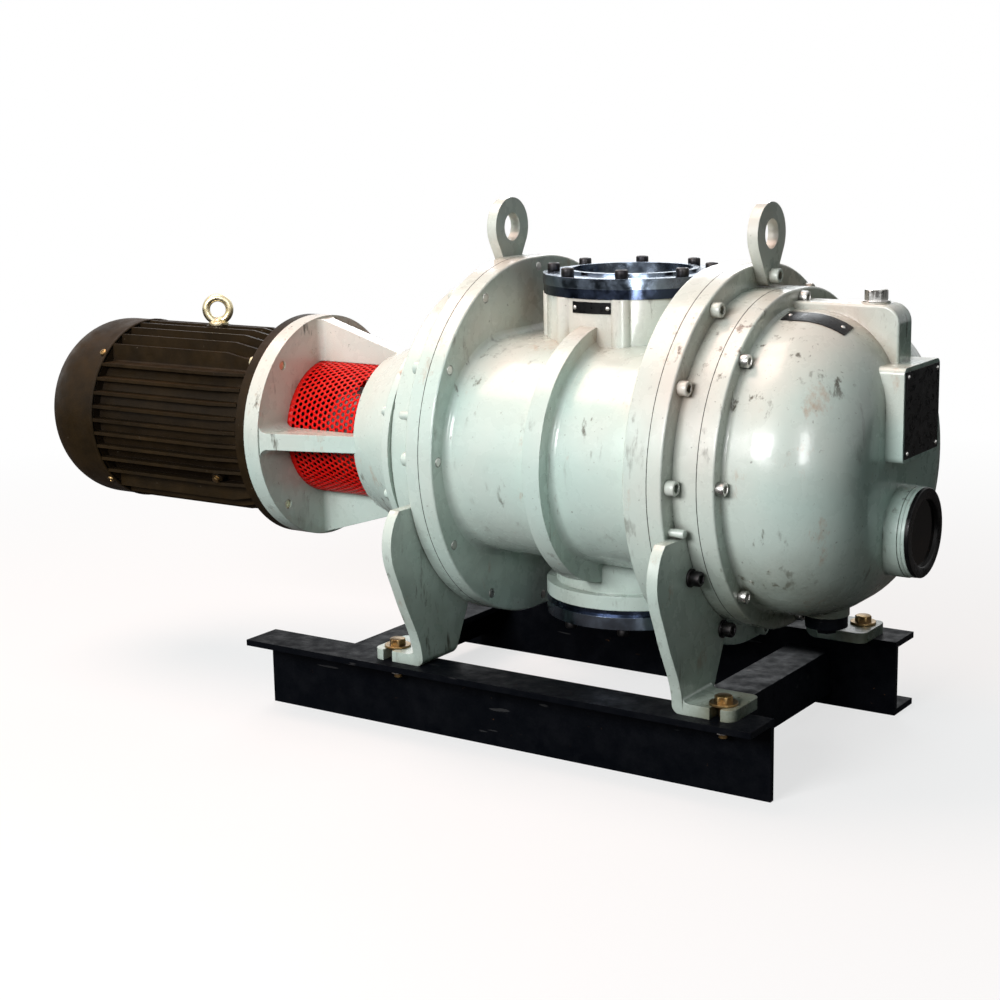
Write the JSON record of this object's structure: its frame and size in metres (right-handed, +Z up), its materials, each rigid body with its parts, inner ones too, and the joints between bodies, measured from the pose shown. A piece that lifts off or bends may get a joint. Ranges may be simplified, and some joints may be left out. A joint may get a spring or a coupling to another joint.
{
  "type": "mechanical vacuum booster",
  "caption": "Roots-type vacuum booster pump: flanged motor, red guarded coupling lantern, two-lobe rotor casing with top and bottom ports, domed oil cover, on feet and two rails.",
  "frame": {"origin": "middle of the footprint box, on the floor", "axes": "+X along the shafts from the motor to the domed oil cover, +Y across from the drive shaft to the driven shaft, +Z up through the suction port"},
  "size_m": [1.276, 0.5626, 0.678],
  "materials": {
    "enamel": "pale grey-green gloss enamel",
    "enamel_screws": "steel screws painted over with the castings",
    "black_paint": "black satin paint",
    "red_paint": "bright red paint",
    "motor_paint": "dark brown satin paint",
    "blued_steel": "blued, turned",
    "bright_steel": "bright turned",
    "black_screws": "black oxide",
    "zinc_steel": "yellow zinc plated",
    "gear_steel": "ground and oiled",
    "rotor_iron": "machined",
    "glass": "clear, dark oil chamber behind",
    "seal_rubber": "black",
    "black_plastic": "matte",
    "brass": "nickel-free turned brass"
  },
  "bodies": {
    "pump_frame": {"rotor_casing": "enamel", "drive_end_plate": "enamel", "gear_end_plate": "enamel", "gear_cover": "enamel", "sight_glass_frame": "black_paint", "sight_glass_lens": "glass", "sight_glass_seal": "seal_rubber", "filler_plug": "zinc_steel", "oil_drain_plug": "black_paint", "inlet_adaptor_ring": "blued_steel", "inlet_flange_ring": "bright_steel", "inlet_screws": "black_screws", "outlet_spacer_ring": "blued_steel", "outlet_flange_ring": "bright_steel", "outlet_screws": "black_screws", "drive_end_bearings": "gear_steel", "gear_end_bearings": "gear_steel", "drive_end_shaft_seals": "seal_rubber", "gear_end_shaft_seals": "seal_rubber", "end_plate_screws": "enamel_screws", "gear_cover_screws": "enamel_screws", "drive_end_lifting_eye": "enamel", "gear_end_lifting_eye": "enamel", "drive_end_front_foot": "enamel", "drive_end_rear_foot": "enamel", "gear_end_front_foot": "enamel", "gear_end_rear_foot": "enamel", "foot_plate_bolts": "black_screws", "foot_anchor_bolts": "zinc_steel", "foot_anchor_washers": "zinc_steel", "foot_anchor_nuts": "zinc_steel", "front_rail": "black_paint", "rear_rail": "black_paint", "cross_members": "black_paint", "coupling_lantern": "enamel", "lantern_screws": "enamel_screws", "coupling_guard": "red_paint", "motor_flange_shield": "motor_paint", "motor_frame": "motor_paint", "motor_rear_shield": "motor_paint", "motor_fan_cowl": "motor_paint", "motor_stator": "gear_steel", "motor_bearings": "gear_steel", "motor_eyebolt": "zinc_steel", "motor_terminal_box": "motor_paint", "motor_terminal_lid": "motor_paint", "motor_cable_gland": "brass", "motor_flange_bolts": "zinc_steel"},
    "drive_line": {"drive_rotor": "rotor_iron", "drive_timing_gear": "gear_steel", "drive_gear_nut": "gear_steel", "pump_coupling_hub": "rotor_iron", "coupling_spider": "seal_rubber", "motor_coupling_hub": "rotor_iron", "motor_rotor": "gear_steel", "motor_fan": "black_plastic"},
    "driven_line": {"driven_rotor": "rotor_iron", "driven_timing_gear": "gear_steel", "driven_gear_nut": "gear_steel", "oil_slinger": "gear_steel"}
  },
  "joints": [
    {"name": "drive_shaft_spin", "type": "hinge", "parent": "pump_frame", "child": "drive_line", "pos_m": [0.102, -0.08, 0.37], "axis": [1, 0, 0], "continuous": true},
    {"name": "driven_shaft_spin", "type": "hinge", "parent": "pump_frame", "child": "driven_line", "pos_m": [0.102, 0.08, 0.37], "axis": [1, 0, 0], "continuous": true}
  ],
  "couplings": [
    {"joint": "driven_shaft_spin", "follows": "drive_shaft_spin", "ratio": -1}
  ]
}
